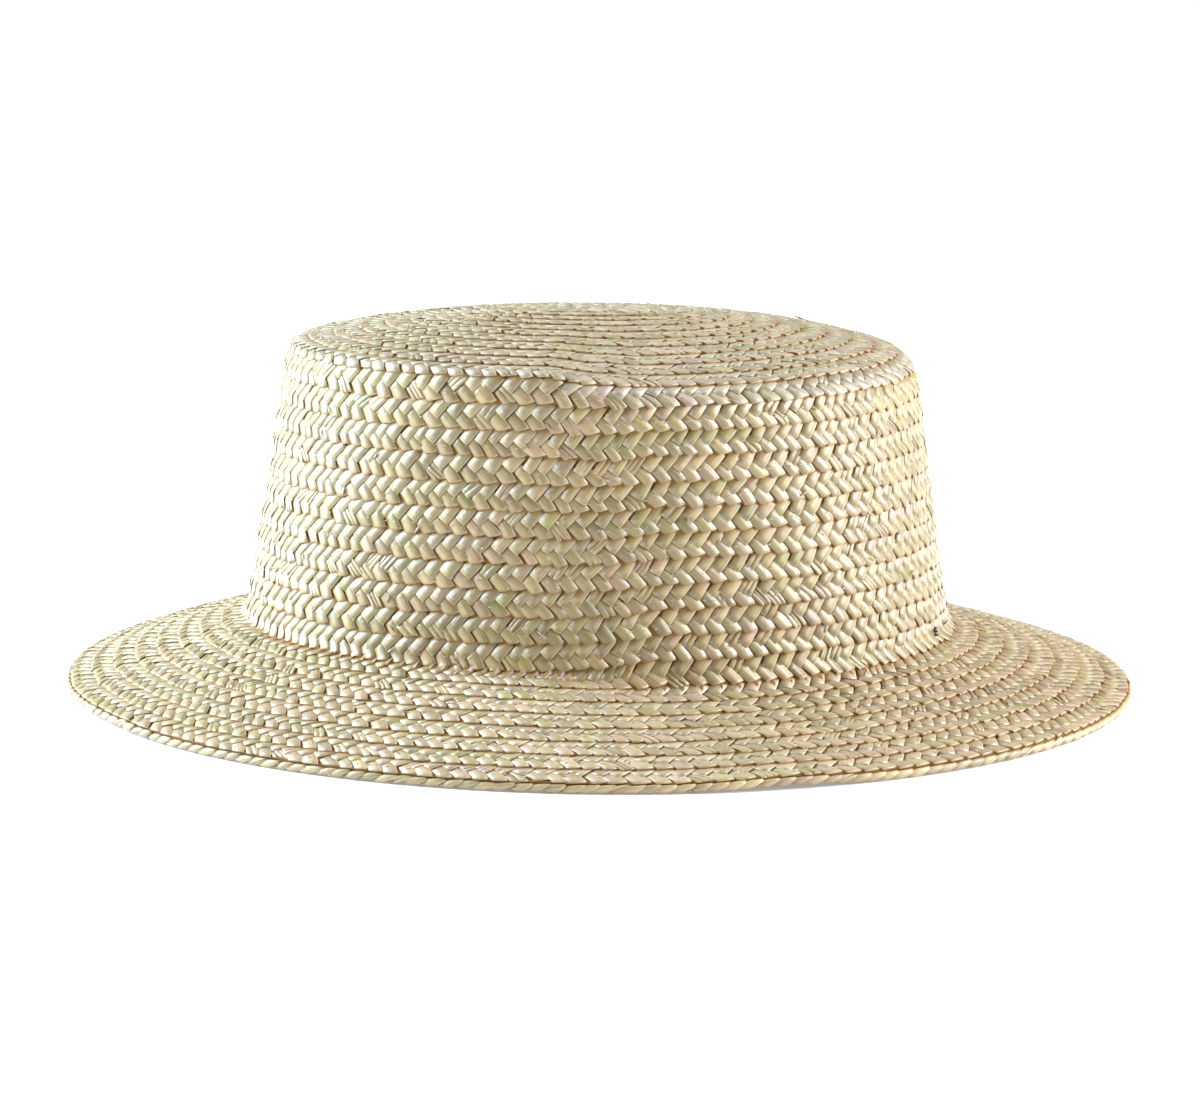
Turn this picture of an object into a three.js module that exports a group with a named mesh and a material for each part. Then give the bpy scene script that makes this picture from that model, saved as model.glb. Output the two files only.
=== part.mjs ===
// Straw boater: one long straw plait, sewn row below row from the middle of the tip
// to the edge of the brim. Millimetres, +Z up, the brim's edge rests on z = 0.
// +X is the wearer's back, -Y is the side where the folds step from one row to the next.
import * as THREE from 'three';

// Head opening and crown
const headLength = 198;
const headWidth = 165.2;
const crownHeight = 77.8;
const crownTaper = 12.3;
const crownSet = -0.7;
const crownLean = 0.5;
const tipDome = 9.9;

// Brim, its heights measured on the upper face
const brimSideWidth = 47.5;
const brimEndWidth = 51.8;
const brimRise = 19.5;
const rimHeight = 2.9;
const rimLand = 1.6;
const rimRound = 0.9;
const rimCrown = 0.5;

// Plait and wall
const wall = 2.4;
const plaitThickness = 1.1;
const crownRowPitch = 7.3;
const brimRowPitch = 6.2;
const rowLap = 2.6;
const pieceGap = 0.3;

// Folds: both follow the plait, so they fall by a step at the front centre after each turn
const ridgeRadiusSharp = 2;
const ridgeRadiusRound = 15;
const creaseRadiusSharp = 2;
const creaseRadiusRound = 7;
const ridgeStep = 6;
const creaseStep = 4;
const foldStepSpan = 22;
const frontCentre = -90;

// Where the brim's edge lifts off the floor: bearing and spread in degrees, lift in mm
const brimWaves = [
  { bearing: -71, spread: 13, lift: 0.8 },
  { bearing: 62, spread: 16, lift: 0.7 },
  { bearing: 138, spread: 19, lift: 1.3 },
  { bearing: -152, spread: 15, lift: 0.6 },
];

// Fineness of the facets round the hat
const roundSteps = 56;

const baseHalfLength = headLength / 2 + wall;
const baseHalfWidth = headWidth / 2 + wall;
const tipReach = Math.min(baseHalfLength, baseHalfWidth) - crownTaper;
const apexHeight = brimRise + crownHeight + tipDome;

// How far the folds have come down the plait at a bearing: 1 just after the front centre,
// 0 when they are back there from the other side
function foldTurn(bearing) {
  const share = THREE.MathUtils.euclideanModulo((bearing - frontCentre) / 360, 1);
  const fromCentre = 360 * Math.min(share, 1 - share);
  const clear = THREE.MathUtils.smoothstep(fromCentre, 0, foldStepSpan / 2);
  return THREE.MathUtils.lerp(0.5, 1 - share, clear);
}

// Height that the brim's edge stands above the floor at a bearing
function edgeLift(bearing) {
  let lift = 0;
  for (const wave of brimWaves) {
    const away = Math.abs(THREE.MathUtils.euclideanModulo(bearing - wave.bearing + 180, 360) - 180);
    if (away < wave.spread) {
      lift += wave.lift * Math.cos((Math.PI / 2) * (away / wave.spread)) ** 2;
    }
  }
  return lift;
}

// Length cut off each leg of a fold by a rounding of the given radius
function foldLeg(radius, before, after) {
  return radius * Math.tan(before.angleTo(after) / 2);
}

// The upper or outer face of the hat at one bearing, from the middle of the tip to the rim,
// as x = offset from the outer oval of the crown's base and y = height
function profile(bearing) {
  const turn = foldTurn(bearing);
  const ridge = new THREE.Vector2(-crownTaper, brimRise + crownHeight - ridgeStep * (turn - 0.5));
  const crease = new THREE.Vector2(0, brimRise - creaseStep * (turn - 0.5));
  const rim = new THREE.Vector2(brimSideWidth, rimHeight);
  const middle = new THREE.Vector2(-crownTaper - tipReach, apexHeight);
  const drop = apexHeight - ridge.y;

  const sideWay = crease.clone().sub(ridge).normalize();
  const brimWay = rim.clone().sub(crease).normalize();
  const tipWay = new THREE.Vector2(tipReach, -2 * drop).normalize();

  const ridgeRadius = THREE.MathUtils.lerp(ridgeRadiusSharp, ridgeRadiusRound, turn);
  const creaseRadius = THREE.MathUtils.lerp(creaseRadiusSharp, creaseRadiusRound, turn);
  const ridgeLeg = foldLeg(ridgeRadius, tipWay, sideWay);
  const creaseLeg = foldLeg(creaseRadius, sideWay, brimWay);

  const domeShare = 1 - (ridgeLeg * tipWay.x) / tipReach;
  const domeEnd = new THREE.Vector2(middle.x + tipReach * domeShare, apexHeight - drop * domeShare ** 2);
  const domePull = new THREE.Vector2(middle.x + (tipReach * domeShare) / 2, apexHeight);
  const sideStart = ridge.clone().addScaledVector(sideWay, ridgeLeg);
  const sideEnd = crease.clone().addScaledVector(sideWay, -creaseLeg);
  const brimStart = crease.clone().addScaledVector(brimWay, creaseLeg);

  const path = new THREE.CurvePath();
  path.add(new THREE.QuadraticBezierCurve(middle, domePull, domeEnd));
  path.add(new THREE.QuadraticBezierCurve(domeEnd, ridge, sideStart));
  path.add(new THREE.LineCurve(sideStart, sideEnd));
  path.add(new THREE.QuadraticBezierCurve(sideEnd, crease, brimStart));
  path.add(new THREE.LineCurve(brimStart, rim));
  const lengths = path.getCurveLengths();
  return { path, ridgeEnd: lengths[1], creaseEnd: lengths[3], length: lengths[4] };
}

// Where the pieces meet, as lengths down the profile. On the left, where the folds are sharp,
// the last row of a piece ends at its fold; further round the fold wanders into the next row.
const sharpShape = profile(180);
const tipEnd = sharpShape.ridgeEnd;
const sideEnd = sharpShape.creaseEnd;

function edgeStart(shape) {
  return shape.length - brimRowPitch;
}

// A point of the wall: along the profile by a length, and deep under its outer face
function wallPoint(shape, along, deep) {
  const share = along / shape.length;
  const point = shape.path.getPoint(share);
  const way = shape.path.getTangent(share);
  return new THREE.Vector2(point.x + way.y * deep, point.y - way.x * deep);
}

// Number of plait rows in a stretch of the profile, the same at every bearing
const tipRows = rowCount(tipEnd, crownRowPitch);
const sideRows = rowCount(sideEnd - tipEnd, crownRowPitch);
const brimRows = rowCount(edgeStart(sharpShape) - sideEnd, brimRowPitch);

function rowCount(length, pitch) {
  return Math.max(2, Math.round(length / pitch));
}

// Outer face of a run of rows: each row's lower edge stands proud of the row that it laps
function rowSteps(shape, start, end, rows) {
  const points = [];
  for (let row = 1; row <= rows; row += 1) {
    const along = start + ((end - start) * row) / rows;
    points.push(wallPoint(shape, along, 0));
    if (row < rows) {
      points.push(wallPoint(shape, along, plaitThickness));
    }
  }
  return points;
}

// Under the last row of a piece: the plait's edge, then the seat of the next piece's lap
function lapSeat(shape, end) {
  const seat = end - rowLap - pieceGap;
  return [
    wallPoint(shape, end, plaitThickness),
    wallPoint(shape, seat, plaitThickness),
    wallPoint(shape, seat, wall),
  ];
}

// The tongue at the top of a piece, tucked under the last row of the piece above
function lapTongue(shape, start) {
  const deep = plaitThickness + pieceGap;
  return [wallPoint(shape, start - rowLap, deep), wallPoint(shape, start, deep)];
}

function innerFace(shape, start, end, rows, lastRow) {
  const points = [];
  for (let row = rows - 1; row >= lastRow; row -= 1) {
    points.push(wallPoint(shape, start + ((end - start) * row) / rows, wall));
  }
  return points;
}

function tipSection(shape) {
  return [
    wallPoint(shape, 0, 0),
    ...rowSteps(shape, 0, tipEnd, tipRows),
    ...lapSeat(shape, tipEnd),
    ...innerFace(shape, 0, tipEnd, tipRows, 0),
  ];
}

function rowSection(shape, start, end, rows) {
  return [
    ...lapTongue(shape, start),
    ...rowSteps(shape, start, end, rows),
    ...lapSeat(shape, end),
    ...innerFace(shape, start, end, rows, 1),
    wallPoint(shape, start - rowLap, wall),
  ];
}

// The edge row is the plait doubled: fuller on top, round outside and flat where it rests
function edgeSection(shape) {
  const start = edgeStart(shape);
  const end = shape.length;
  const middle = (start + end) / 2;
  const topEnd = wallPoint(shape, end - rimRound, 0);
  return [
    ...lapTongue(shape, start),
    wallPoint(shape, middle, -rimCrown),
    topEnd,
    new THREE.Vector2(brimSideWidth, (topEnd.y + rimRound) / 2),
    new THREE.Vector2(brimSideWidth - rimRound, 0),
    new THREE.Vector2(brimSideWidth - rimRound - rimLand, 0),
    wallPoint(shape, start - rowLap, wall),
  ];
}

// Place of a section point on the hat: ovals round the crown's base, wider at the front and
// back of the brim. The crown is set a little forward on the brim and leans back, and the
// brim's edge is lifted by its waves.
function place(point, bearing) {
  const angle = THREE.MathUtils.degToRad(bearing);
  const outward = Math.max(0, point.x / brimSideWidth);
  const upward = Math.max(0, (point.y - brimRise) / crownHeight);
  return [
    (baseHalfLength + point.x + outward * (brimEndWidth - brimSideWidth)) * Math.cos(angle)
      + crownSet * (1 - outward)
      + crownLean * upward,
    (baseHalfWidth + point.x) * Math.sin(angle),
    point.y + edgeLift(bearing) * outward ** 2,
  ];
}

// Sweeps a section round the hat. A capped section starts and ends on the hat's middle,
// where all bearings share one point; any other section closes on itself.
function sweep(section, capped) {
  const positions = [];
  const faces = [];
  const count = section(sharpShape).length;
  for (let step = 0; step < roundSteps; step += 1) {
    const bearing = frontCentre + (360 * step) / roundSteps;
    const points = section(profile(bearing));
    for (let spot = 0; spot < count; spot += 1) {
      const onMiddle = capped && (spot === 0 || spot === count - 1);
      const [x, y, z] = place(points[spot], bearing);
      positions.push(onMiddle ? 0 : x, onMiddle ? 0 : y, z);
    }
  }
  const vertex = (step, spot) => {
    const onMiddle = capped && (spot === 0 || spot === count - 1);
    return (onMiddle ? 0 : (step % roundSteps) * count) + (spot % count);
  };
  const strips = capped ? count - 1 : count;
  for (let step = 0; step < roundSteps; step += 1) {
    for (let spot = 0; spot < strips; spot += 1) {
      const here = vertex(step, spot);
      const below = vertex(step, spot + 1);
      const belowNext = vertex(step + 1, spot + 1);
      const next = vertex(step + 1, spot);
      if (below !== belowNext) {
        faces.push(here, below, belowNext);
      }
      if (here !== next) {
        faces.push(here, belowNext, next);
      }
    }
  }
  return { positions, faces };
}

// Keeps only the vertices that faces use, as one indexed geometry
function sweptGeometry(section, capped) {
  const { positions, faces } = sweep(section, capped);
  const renamed = new Map();
  const kept = [];
  const index = faces.map((vertex) => {
    if (!renamed.has(vertex)) {
      renamed.set(vertex, renamed.size);
      kept.push(...positions.slice(3 * vertex, 3 * vertex + 3));
    }
    return renamed.get(vertex);
  });
  const geometry = new THREE.BufferGeometry();
  geometry.setAttribute('position', new THREE.Float32BufferAttribute(kept, 3));
  geometry.setIndex(index);
  geometry.computeVertexNormals();
  return geometry;
}

function strawMaterial(color, roughness) {
  return new THREE.MeshStandardMaterial({ color, roughness, metalness: 0 });
}

function makePiece(name, section, capped, material) {
  const mesh = new THREE.Mesh(sweptGeometry(section, capped), material);
  mesh.name = name;
  return mesh;
}

const crownStraw = strawMaterial(0xcdbd98, 0.5);
const sideStraw = strawMaterial(0xd6c9a8, 0.48);
const brimStraw = strawMaterial(0xcbb994, 0.52);
const edgeStraw = strawMaterial(0xbfa97c, 0.55);

const sideSection = (shape) => rowSection(shape, tipEnd, sideEnd, sideRows);
const brimSection = (shape) => rowSection(shape, sideEnd, edgeStart(shape), brimRows);

const boater = new THREE.Group();
boater.add(makePiece('crown_tip', tipSection, true, crownStraw));
boater.add(makePiece('crown_side', sideSection, false, sideStraw));
boater.add(makePiece('brim', brimSection, false, brimStraw));
boater.add(makePiece('brim_edge', edgeSection, false, edgeStraw));

export default boater;
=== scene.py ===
import math
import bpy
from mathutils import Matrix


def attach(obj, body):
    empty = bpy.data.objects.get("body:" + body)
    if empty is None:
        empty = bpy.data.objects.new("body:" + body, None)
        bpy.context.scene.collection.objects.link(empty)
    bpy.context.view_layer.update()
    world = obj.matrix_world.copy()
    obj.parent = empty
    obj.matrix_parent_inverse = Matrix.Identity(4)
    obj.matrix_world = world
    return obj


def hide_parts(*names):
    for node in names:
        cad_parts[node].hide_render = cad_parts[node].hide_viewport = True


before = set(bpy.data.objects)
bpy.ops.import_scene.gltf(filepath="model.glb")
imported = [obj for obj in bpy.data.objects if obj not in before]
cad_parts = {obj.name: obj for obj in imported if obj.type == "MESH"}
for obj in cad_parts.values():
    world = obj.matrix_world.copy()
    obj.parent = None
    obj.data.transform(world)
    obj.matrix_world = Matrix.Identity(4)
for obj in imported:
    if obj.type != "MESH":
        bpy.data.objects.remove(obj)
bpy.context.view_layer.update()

from types import SimpleNamespace

import bmesh
import bpy
import numpy as np
from mathutils import Matrix, Vector

# A straw boater: one long plait of split straw, sewn in a spiral from the middle of the tip
# to the brim's edge. Sizes are the part's own, in millimetres; meshes are made in metres.
MM = 0.001
HEAD_LENGTH = 198.0
HEAD_WIDTH = 165.2
CROWN_HEIGHT = 77.8
CROWN_TAPER = 12.3
CROWN_SET = -0.7
CROWN_LEAN = 0.5
TIP_DOME = 9.9
BRIM_SIDE_WIDTH = 47.5
BRIM_END_WIDTH = 51.8
BRIM_RISE = 19.5
RIM_HEIGHT = 2.9
WALL = 2.4
ROW_TILT = 0.7
RIDGE_RADIUS_SHARP = 2.0
RIDGE_RADIUS_ROUND = 15.0
CREASE_RADIUS_SHARP = 2.0
CREASE_RADIUS_ROUND = 7.0
RIDGE_STEP = 6.0
CREASE_STEP = 4.0
FOLD_STEP_SPAN = 22.0
FRONT_CENTRE = -90.0
BRIM_WAVES = (
    SimpleNamespace(bearing=-71.0, spread=13.0, lift=0.8),
    SimpleNamespace(bearing=62.0, spread=16.0, lift=0.7),
    SimpleNamespace(bearing=138.0, spread=19.0, lift=1.3),
    SimpleNamespace(bearing=-152.0, spread=15.0, lift=0.6),
)

# Rows of plait, counted at the front just left of the middle
TIP_ROWS = 10
SIDE_ROWS = 11
BRIM_ROWS = 8
RIM_ROWS = 1
PLAIT_END = 100.0
PLAIT_END_SPAN = 34.0
RIM_WRAP = 0.8
RIM_WRAP_FOOT = 0.25
RIM_ROUNDING = 0.9

BASE_HALF_LENGTH = HEAD_LENGTH / 2 + WALL
BASE_HALF_WIDTH = HEAD_WIDTH / 2 + WALL
TIP_REACH = min(BASE_HALF_LENGTH, BASE_HALF_WIDTH) - CROWN_TAPER
APEX_HEIGHT = BRIM_RISE + CROWN_HEIGHT + TIP_DOME
ALL_ROWS = TIP_ROWS + SIDE_ROWS + BRIM_ROWS + RIM_ROWS
FULL_TURN = 360.0

rng = np.random.default_rng(41)


def column(values):
    return np.asarray(values)[:, None]


def smooth(share):
    """0 up to a share of 0, 1 from a share of 1, and an even rise between them."""
    share = np.clip(share, 0.0, 1.0)
    return share * share * (3.0 - 2.0 * share)


def blend_values(start, end, share):
    return start + (end - start) * share


# The camera stands where the photograph's stood
CAMERA_TILT = 0.195
CAMERA_DISTANCE = 1128.182
CAMERA_ROLL = 0.011
CAMERA_AIM = Vector((-0.2, 0.0, 38.43))
CAMERA_LENS = 117.65
SENSOR_WIDTH = 36.0


def make_camera():
    data = bpy.data.cameras.new("view")
    data.sensor_fit = "HORIZONTAL"
    data.sensor_width = SENSOR_WIDTH
    data.lens = CAMERA_LENS
    data.clip_start = 0.05
    data.clip_end = 20.0
    camera = bpy.data.objects.new("view", data)
    bpy.context.scene.collection.objects.link(camera)
    ahead = Vector((0.0, math.cos(CAMERA_TILT), -math.sin(CAMERA_TILT)))
    camera.location = (CAMERA_AIM - ahead * CAMERA_DISTANCE) * MM
    turn = ahead.to_track_quat("-Z", "Y").to_matrix().to_4x4()
    roll = turn.Rotation(CAMERA_ROLL, 4, "Z")
    camera.rotation_euler = (turn @ roll).to_euler()
    bpy.context.scene.camera = camera


make_camera()


def fold_turn(bearing):
    """1 just after the front centre, 0 coming back to it from the other side."""
    share = ((bearing - FRONT_CENTRE) / FULL_TURN) % 1.0
    from_centre = FULL_TURN * np.minimum(share, 1.0 - share)
    clear = smooth(from_centre / (FOLD_STEP_SPAN / 2))
    return blend_values(0.5, 1.0 - share, clear)


def edge_lift(bearing):
    """How far the waves lift the brim's edge off the floor at each bearing."""
    lift = np.zeros_like(bearing)
    for wave in BRIM_WAVES:
        away = np.abs((bearing - wave.bearing + 180.0) % FULL_TURN - 180.0)
        bump = wave.lift * np.cos((math.pi / 2) * np.minimum(away / wave.spread, 1.0)) ** 2
        lift += bump
    return lift


def arc_points(start, pull, end, steps):
    """Points of a rounding from start to end, pulled towards a corner, for every bearing."""
    share = np.linspace(0.0, 1.0, steps)[None, :, None]
    ends = start[:, None] * (1 - share) ** 2 + end[:, None] * share ** 2
    return ends + pull[:, None] * 2 * share * (1 - share)


def fold_leg(radius, before, after):
    """How far a rounding of this radius reaches from its corner."""
    turned = np.arccos(np.clip((before * after).sum(1), -1.0, 1.0))
    return radius * np.tan(turned / 2)


def unit(vectors):
    return vectors / np.linalg.norm(vectors, axis=-1, keepdims=True)


def hat_profile(bearing):
    """The hat's outer face at each bearing, as points of offset and height, with the lengths
    at which its folds and the brim's outer face end."""
    turn = fold_turn(bearing)
    flat = np.zeros_like(bearing)
    ridge_height = BRIM_RISE + CROWN_HEIGHT - RIDGE_STEP * (turn - 0.5)
    ridge = np.stack([flat - CROWN_TAPER, ridge_height], 1)
    crease = np.stack([flat, BRIM_RISE - CREASE_STEP * (turn - 0.5)], 1)
    rim = np.stack([flat + BRIM_SIDE_WIDTH, flat + RIM_HEIGHT], 1)
    middle = np.stack([flat - CROWN_TAPER - TIP_REACH, flat + APEX_HEIGHT], 1)
    drop = APEX_HEIGHT - ridge[:, 1]

    side_way = unit(crease - ridge)
    brim_way = unit(rim - crease)
    tip_way = unit(np.stack([flat + TIP_REACH, -2 * drop], 1))
    ridge_radius = blend_values(RIDGE_RADIUS_SHARP, RIDGE_RADIUS_ROUND, turn)
    crease_radius = blend_values(CREASE_RADIUS_SHARP, CREASE_RADIUS_ROUND, turn)
    ridge_leg = fold_leg(ridge_radius, tip_way, side_way)
    crease_leg = fold_leg(crease_radius, side_way, brim_way)

    dome_share = 1 - ridge_leg * tip_way[:, 0] / TIP_REACH
    dome_reach = TIP_REACH * dome_share
    dome_end = np.stack([middle[:, 0] + dome_reach, APEX_HEIGHT - drop * dome_share ** 2], 1)
    dome_pull = np.stack([middle[:, 0] + dome_reach / 2, flat + APEX_HEIGHT], 1)
    side_start = ridge + side_way * ridge_leg[:, None]
    side_end = crease - side_way * crease_leg[:, None]
    brim_start = crease + brim_way * crease_leg[:, None]
    rim_start = rim - brim_way * RIM_ROUNDING
    rim_side = np.stack([flat + BRIM_SIDE_WIDTH, flat + 0.6 * RIM_HEIGHT], 1)
    rim_foot = np.stack([flat + BRIM_SIDE_WIDTH - RIM_WRAP, flat + RIM_WRAP_FOOT], 1)
    foot_pull = np.stack([rim_side[:, 0], rim_foot[:, 1]], 1)

    stretches = [
        arc_points(middle, dome_pull, dome_end, 60),
        arc_points(dome_end, ridge, side_start, 24),
        arc_points(side_start, (side_start + side_end) / 2, side_end, 40),
        arc_points(side_end, crease, brim_start, 24),
        arc_points(brim_start, (brim_start + rim_start) / 2, rim_start, 30),
        arc_points(rim_start, rim, rim_side, 10),
        arc_points(rim_side, foot_pull, rim_foot, 10),
    ]
    points = np.concatenate([stretches[0]] + [stretch[:, 1:] for stretch in stretches[1:]], 1)
    steps = np.linalg.norm(np.diff(points, axis=1), axis=2)
    lengths = np.concatenate([flat[:, None], np.cumsum(steps, 1)], 1)
    # Each stretch after the first shares its first point with the one before
    counts = [stretch.shape[1] - (1 if k else 0) for k, stretch in enumerate(stretches)]
    ends = np.cumsum(counts) - 1
    return SimpleNamespace(
        turn=turn,
        points=points,
        lengths=lengths,
        ridge_start=lengths[:, ends[0]],
        ridge_end=lengths[:, ends[1]],
        crease_start=lengths[:, ends[2]],
        crease_end=lengths[:, ends[3]],
        rim_start=lengths[:, ends[4]],
        foot=lengths[:, ends[6]],
    )


# How far through each fold its row of plait ends, where the fold is sharp and where it is round
RIDGE_ROW_SHARP = 0.9
RIDGE_ROW_ROUND = 0.62
CREASE_ROW_SHARP = 0.8
CREASE_ROW_ROUND = 0.6


def row_knots(shape, bearing):
    """Row numbers and profile lengths at the tip's middle, the folds, the rim and its foot."""
    turn = shape.turn
    flat = np.zeros_like(bearing)
    walked_back = (bearing - FRONT_CENTRE) % FULL_TURN
    lost_row = smooth(0.5 - (walked_back - PLAIT_END + FRONT_CENTRE) / PLAIT_END_SPAN)
    rim_turn = 1.0 - walked_back / FULL_TURN - lost_row
    ridge_share = blend_values(RIDGE_ROW_SHARP, RIDGE_ROW_ROUND, turn)
    crease_share = blend_values(CREASE_ROW_SHARP, CREASE_ROW_ROUND, turn)
    rows = np.stack([
        flat,
        TIP_ROWS + turn,
        TIP_ROWS + SIDE_ROWS + turn,
        TIP_ROWS + SIDE_ROWS + BRIM_ROWS + rim_turn,
        ALL_ROWS + rim_turn,
    ], 1)
    lengths = np.stack([
        flat,
        blend_values(shape.ridge_start, shape.ridge_end, ridge_share),
        blend_values(shape.crease_start, shape.crease_end, crease_share),
        shape.rim_start,
        shape.foot,
    ], 1)
    return rows, lengths


class HatSurface:
    """The outer face as a table over bearing and row number, read by interpolation."""

    BEARING_STEPS = 720
    ROW_STEP = 0.04

    def __init__(self):
        bearing = FRONT_CENTRE + FULL_TURN * np.arange(self.BEARING_STEPS) / self.BEARING_STEPS
        shape = hat_profile(bearing)
        self.knot_rows, knot_lengths = row_knots(shape, bearing)
        self.row_count = int(round((ALL_ROWS + 2) / self.ROW_STEP))
        rows = np.arange(self.row_count) * self.ROW_STEP
        flat_points = np.empty((self.BEARING_STEPS, self.row_count, 2))
        for k in range(self.BEARING_STEPS):
            length = np.interp(rows, self.knot_rows[k], knot_lengths[k])
            for axis in range(2):
                level = np.interp(length, shape.lengths[k], shape.points[k, :, axis])
                flat_points[k, :, axis] = level
        self.points = self.placed(flat_points, bearing)
        along = np.roll(self.points, -1, 0) - np.roll(self.points, 1, 0)
        down = np.gradient(self.points, axis=1)
        upright = np.array([0.0, 0.0, 1e-9])
        self.normals = unit(np.cross(down, along) + upright)

    @staticmethod
    def placed(flat_points, bearing):
        """Offset and height set on the oval: the brim is wider at the ends, and waved."""
        angle = np.radians(bearing)[:, None]
        offset = flat_points[..., 0]
        height = flat_points[..., 1]
        outward = np.maximum(0.0, offset / BRIM_SIDE_WIDTH)
        upward = np.maximum(0.0, (height - BRIM_RISE) / CROWN_HEIGHT)
        widened = outward * (BRIM_END_WIDTH - BRIM_SIDE_WIDTH)
        x = (BASE_HALF_LENGTH + offset + widened) * np.cos(angle) + CROWN_SET * (1 - outward)
        y = (BASE_HALF_WIDTH + offset) * np.sin(angle)
        z = height + edge_lift(bearing)[:, None] * outward ** 2
        return np.stack([x + CROWN_LEAN * upward, y, z], -1)

    def read(self, table, bearing, row):
        """A table's value between its four nearest places."""
        turn = ((bearing - FRONT_CENTRE) / FULL_TURN % 1.0) * self.BEARING_STEPS
        left = np.floor(turn).astype(int)
        turn_share = (turn - left)[..., None]
        left %= self.BEARING_STEPS
        right = (left + 1) % self.BEARING_STEPS
        deep = np.clip(row / self.ROW_STEP, 0, self.row_count - 1.001)
        top = np.floor(deep).astype(int)
        deep_share = (deep - top)[..., None]
        upper = table[left, top] * (1 - turn_share) + table[right, top] * turn_share
        lower = table[left, top + 1] * (1 - turn_share) + table[right, top + 1] * turn_share
        return upper * (1 - deep_share) + lower * deep_share

    def knots_at(self, bearing):
        """The row numbers at the tip's middle, the folds, the rim and its foot."""
        turn = (bearing - FRONT_CENTRE) / FULL_TURN % 1.0
        step = np.round(turn * self.BEARING_STEPS).astype(int)
        return self.knot_rows[step % self.BEARING_STEPS]

    def point(self, bearing, row, height):
        place = self.read(self.points, bearing, row)
        return place + unit(self.read(self.normals, bearing, row)) * np.asarray(height)[..., None]


hat = HatSurface()


# The plait is followed by its travel: degrees walked clockwise from the front centre.
# Across it, 0 is the upper edge, tucked under the row above, and 1 is the lower edge.
FOOT_MARGIN = 0.03


def plait_row(travel, across):
    return travel / FULL_TURN - 1.0 + across


def plait_place(travel, across, height):
    """A place on the plait; whatever would pass the rim's foot stays just above it."""
    bearing = FRONT_CENTRE - travel
    foot = hat.knots_at(bearing)[..., 4]
    return hat.point(bearing, np.minimum(plait_row(travel, across), foot - FOOT_MARGIN), height)


def plait_face(across):
    """Height of the plait's outer face: each row's lower edge lies on the row below."""
    return -ROW_TILT * (1.0 - across)


def local_frames(travel, across):
    """How far a degree of travel and a share of the row reach, and how they lean."""
    step = 0.5
    share = 0.1
    flat = np.zeros_like(travel)
    ahead = plait_place(travel + step, across, flat)
    behind = plait_place(travel - step, across, flat)
    below = plait_place(travel, across + share, flat)
    above = plait_place(travel, across - share, flat)
    run = (ahead - behind) / (2 * step)
    fall = (below - above) / (2 * share)
    rate = np.maximum(np.linalg.norm(run, axis=1), 0.02)
    shear = (run * fall).sum(1) / rate ** 2
    pitch = np.linalg.norm(fall - run * shear[:, None], axis=1)
    return rate, pitch, shear


def slow_wander(count, every):
    """A chance value that drifts from one straw to the next, with a new draw every so many."""
    knots = np.arange(0, count + every, every)
    return np.interp(np.arange(count), knots, rng.normal(0, 1, len(knots)))


PLAIT_START = 30.0


def walk_plait(across, spacing, wander):
    """Travels of cells that stand a spacing apart along the plait, each a little off."""
    travel = np.arange(PLAIT_START, FULL_TURN * (ALL_ROWS + 1), 0.5)
    path = plait_place(travel, np.full_like(travel, across), np.zeros_like(travel))
    walked = np.concatenate([[0.0], np.cumsum(np.linalg.norm(np.diff(path, axis=0), axis=1))])
    count = int(walked[-1] / spacing)
    # Straws come in runs of wider and narrower ones
    widths = 1.0 + 0.09 * slow_wander(count, 9) + rng.normal(0, wander, count)
    widths = np.clip(widths, 0.74, 1.3)
    stops = np.cumsum(widths)
    stops *= walked[-1] / stops[-1]
    return np.interp(stops, walked, travel), widths


def zone_of(travel, across):
    """Which zone a place is in: 0 tip, 1 side, 2 brim, 3 edge, 4 past the rim's foot."""
    knots = hat.knots_at(FRONT_CENTRE - travel)
    return (plait_row(travel, across)[:, None] > knots[:, 1:]).sum(1)


def strand_template(lines_along, lines_over):
    """A strand as a closed plate: x and y run from -1 to 1 along and over it, z is 1 on its
    outer face and 0 on its back. Only the outer face is shaded smooth."""
    mesh = bmesh.new()
    steps = (len(lines_along) - 1, len(lines_over) - 1)
    bmesh.ops.create_grid(mesh, x_segments=steps[0], y_segments=steps[1], size=1.0)
    for corner in mesh.verts:
        for axis, lines in enumerate((lines_along, lines_over)):
            corner.co[axis] = lines[round((corner.co[axis] + 1) / 2 * steps[axis])]
    grown = bmesh.ops.extrude_face_region(mesh, geom=mesh.faces[:], use_keep_orig=True)["geom"]
    raised = [part for part in grown if isinstance(part, bmesh.types.BMVert)]
    bmesh.ops.translate(mesh, vec=(0, 0, 1), verts=raised)
    back = [face for face in mesh.faces if all(corner.co.z < 0.5 for corner in face.verts)]
    bmesh.ops.dissolve_faces(mesh, faces=back, use_verts=True)
    bmesh.ops.recalc_face_normals(mesh, faces=mesh.faces)
    mesh.verts.index_update()
    points = np.array([corner.co[:] for corner in mesh.verts])
    faces = [[corner.index for corner in face.verts] for face in mesh.faces]
    smooth_faces = [all(corner.co.z > 0.5 for corner in face.verts) for face in mesh.faces]
    mesh.free()
    return SimpleNamespace(points=points, faces=faces, smooth_faces=smooth_faces)


FLOAT_STRAND = strand_template((-1, -0.35, 0.2, 0.58, 1), (-1, 0, 1))
FOLD_STRAND = strand_template((-1, -0.45, 0.3, 0.72, 1), (-1, 0, 1))
PLAIN_STRAND = strand_template((-1, 0, 1), (-1, 1))


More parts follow.
